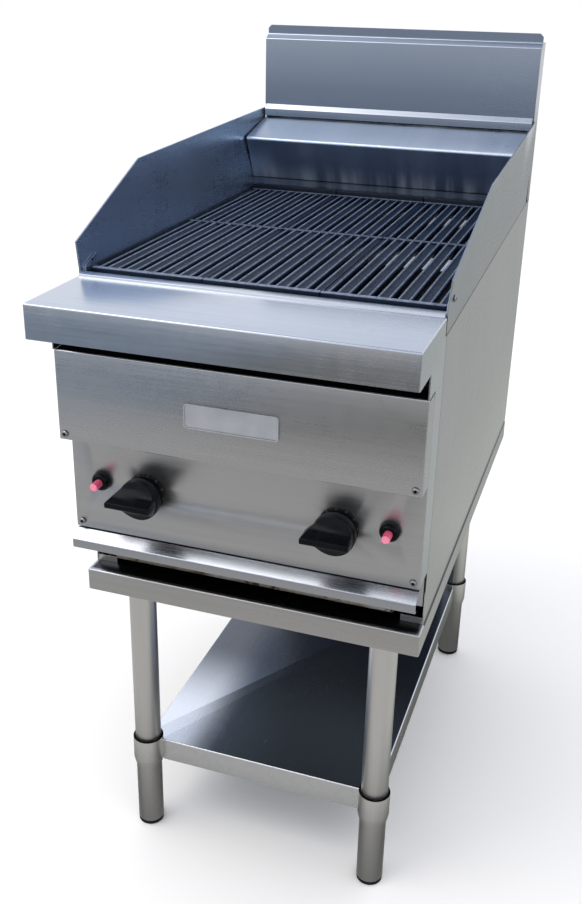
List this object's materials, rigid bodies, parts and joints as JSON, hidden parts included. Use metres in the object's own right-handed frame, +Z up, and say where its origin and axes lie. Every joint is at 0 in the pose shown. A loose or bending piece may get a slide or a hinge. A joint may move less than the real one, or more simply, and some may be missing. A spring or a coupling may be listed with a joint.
{
  "type": "gas chargrill on a stand",
  "caption": "Gas chargrill with lift-off cast grates, splash guards, rear riser and a pull-out drip tray, on a tube-leg stand with an undershelf.",
  "frame": {"origin": "on the floor, below the middle of the whole unit's box", "axes": "+X to the right of someone facing the controls, +Y towards the rear riser, +Z up"},
  "size_m": [0.4772, 0.85, 1.1315],
  "materials": {
    "brushed_stainless": "directional brushed grain, satin",
    "stainless_tube": "drawn tube, satin",
    "heat_darkened_steel": "blued and sooted by heat",
    "seasoned_cast_iron": "seasoned, slightly glossy, pitted",
    "black_plastic": "moulded phenolic, satin",
    "faded_red_plastic": "faded to pink",
    "satin_badge": "satin, blank",
    "brass": "cast and machined",
    "stained_steel": "burnt-on grease over steel",
    "screw_steel": "plated"
  },
  "bodies": {
    "chargrill": {"stand_top": "brushed_stainless", "undershelf": "brushed_stainless", "chassis_side_left": "brushed_stainless", "chassis_side_right": "brushed_stainless", "chassis_rear": "brushed_stainless", "front_ledge": "brushed_stainless", "upper_front_panel": "brushed_stainless", "control_panel": "brushed_stainless", "splash_guard_left": "brushed_stainless", "splash_guard_right": "brushed_stainless", "riser_front": "brushed_stainless", "riser_back": "brushed_stainless", "grate_support": "brushed_stainless", "radiant_left": "brushed_stainless", "radiant_right": "brushed_stainless", "leg_front_left": "stainless_tube", "leg_front_right": "stainless_tube", "leg_rear_left": "stainless_tube", "leg_rear_right": "stainless_tube", "knob_bezel_left": "black_plastic", "knob_bezel_right": "black_plastic", "igniter_body_left": "black_plastic", "igniter_body_right": "black_plastic", "burner_rail_front": "heat_darkened_steel", "burner_rail_rear": "heat_darkened_steel", "firebox": "heat_darkened_steel", "flue_hood": "heat_darkened_steel", "burner_left": "heat_darkened_steel", "burner_right": "heat_darkened_steel", "badge_plate": "satin_badge", "gas_manifold": "brass", "gas_supply_pipe": "brass", "valve_body_left": "brass", "valve_body_right": "brass", "pilot_left": "brass", "pilot_right": "brass", "upper_panel_screw_left": "screw_steel", "upper_panel_screw_right": "screw_steel", "control_panel_screw_left": "screw_steel", "control_panel_screw_right": "screw_steel", "guard_screw_left": "screw_steel", "guard_screw_right": "screw_steel"},
    "drip_tray": {"drip_tray": "stained_steel"},
    "foot_front_left": {"foot_front_left": "black_plastic"},
    "foot_front_right": {"foot_front_right": "black_plastic"},
    "foot_rear_left": {"foot_rear_left": "black_plastic"},
    "foot_rear_right": {"foot_rear_right": "black_plastic"},
    "grate_left": {"grate_left": "seasoned_cast_iron"},
    "grate_centre": {"grate_centre": "seasoned_cast_iron"},
    "grate_right": {"grate_right": "seasoned_cast_iron"},
    "valve_plug_left": {"valve_plug_left": "brass", "knob_spring_left": "brushed_stainless"},
    "knob_left": {"knob_left": "black_plastic", "valve_spindle_left": "brushed_stainless"},
    "igniter_button_left": {"igniter_button_left": "faded_red_plastic"},
    "valve_plug_right": {"valve_plug_right": "brass", "knob_spring_right": "brushed_stainless"},
    "knob_right": {"knob_right": "black_plastic", "valve_spindle_right": "brushed_stainless"},
    "igniter_button_right": {"igniter_button_right": "faded_red_plastic"}
  },
  "joints": [
    {"name": "drip_tray_slide", "type": "slide", "parent": "chargrill", "child": "drip_tray", "axis": [0, -1, 0], "range_m": [0, 0.45]},
    {"name": "foot_front_left_screw", "type": "slide", "parent": "chargrill", "child": "foot_front_left", "axis": [0, 0, -1], "range_m": [0, 0.02]},
    {"name": "foot_front_right_screw", "type": "slide", "parent": "chargrill", "child": "foot_front_right", "axis": [0, 0, -1], "range_m": [0, 0.02]},
    {"name": "foot_rear_left_screw", "type": "slide", "parent": "chargrill", "child": "foot_rear_left", "axis": [0, 0, -1], "range_m": [0, 0.02]},
    {"name": "foot_rear_right_screw", "type": "slide", "parent": "chargrill", "child": "foot_rear_right", "axis": [0, 0, -1], "range_m": [0, 0.02]},
    {"name": "grate_left_lift", "type": "slide", "parent": "chargrill", "child": "grate_left", "axis": [0, -0.2873, 0.9578], "range_m": [0, 0.028]},
    {"name": "grate_centre_lift", "type": "slide", "parent": "chargrill", "child": "grate_centre", "axis": [0, -0.2873, 0.9578], "range_m": [0, 0.028]},
    {"name": "grate_right_lift", "type": "slide", "parent": "chargrill", "child": "grate_right", "axis": [0, -0.2873, 0.9578], "range_m": [0, 0.028]},
    {"name": "valve_left_turn", "type": "hinge", "parent": "chargrill", "child": "valve_plug_left", "pos_m": [-0.126, -0.328, 0.607], "axis": [0, -1, 0], "range_deg": [0, 180]},
    {"name": "knob_left_push", "type": "slide", "parent": "valve_plug_left", "child": "knob_left", "axis": [0, 1, 0], "range_m": [0, 0.004], "stiffness_N_per_m": 600, "springref_m": -0.002, "deforming": ["knob_spring_left"]},
    {"name": "igniter_left_push", "type": "slide", "parent": "chargrill", "child": "igniter_button_left", "axis": [0, 1, 0], "range_m": [0, 0.005], "stiffness_N_per_m": 800, "springref_m": -0.002},
    {"name": "valve_right_turn", "type": "hinge", "parent": "chargrill", "child": "valve_plug_right", "pos_m": [0.126, -0.328, 0.607], "axis": [0, -1, 0], "range_deg": [0, 180]},
    {"name": "knob_right_push", "type": "slide", "parent": "valve_plug_right", "child": "knob_right", "axis": [0, 1, 0], "range_m": [0, 0.004], "stiffness_N_per_m": 600, "springref_m": -0.002, "deforming": ["knob_spring_right"]},
    {"name": "igniter_right_push", "type": "slide", "parent": "chargrill", "child": "igniter_button_right", "axis": [0, 1, 0], "range_m": [0, 0.005], "stiffness_N_per_m": 800, "springref_m": -0.002}
  ]
}
